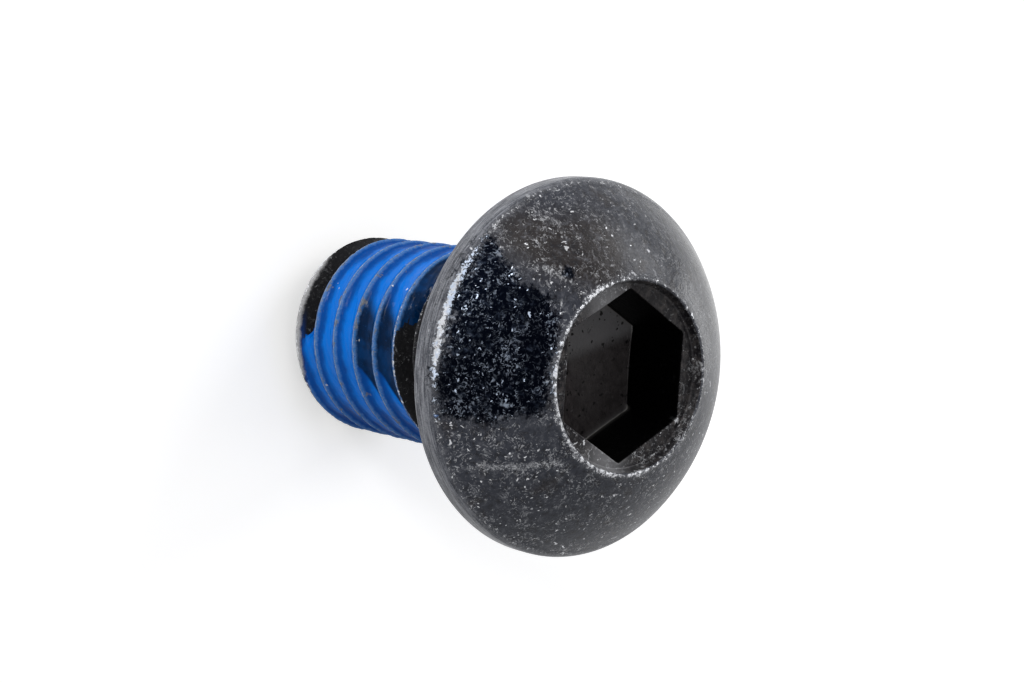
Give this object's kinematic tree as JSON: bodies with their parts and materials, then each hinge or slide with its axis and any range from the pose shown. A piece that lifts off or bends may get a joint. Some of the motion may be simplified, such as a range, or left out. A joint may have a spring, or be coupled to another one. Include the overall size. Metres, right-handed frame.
{
  "type": "button head socket screw",
  "caption": "Domed screw with a hex socket, straight rim, flat bearing face, full right-hand metric thread and a blue dry locking patch in its grooves.",
  "frame": {"origin": "the point where the screw's axis crosses the plane of the bearing face", "axes": "+Z along the screw's axis from tip to head, upwards as the screw stands on its tip; +X through a corner of the hex socket"},
  "size_m": [0.0104, 0.0104, 0.0128],
  "materials": {
    "steel": "black oxide, satin, scuffed",
    "compound": "glossy dried compound"
  },
  "bodies": {
    "root": {"screw": "steel", "locking_patch": "compound"}
  },
  "joints": []
}
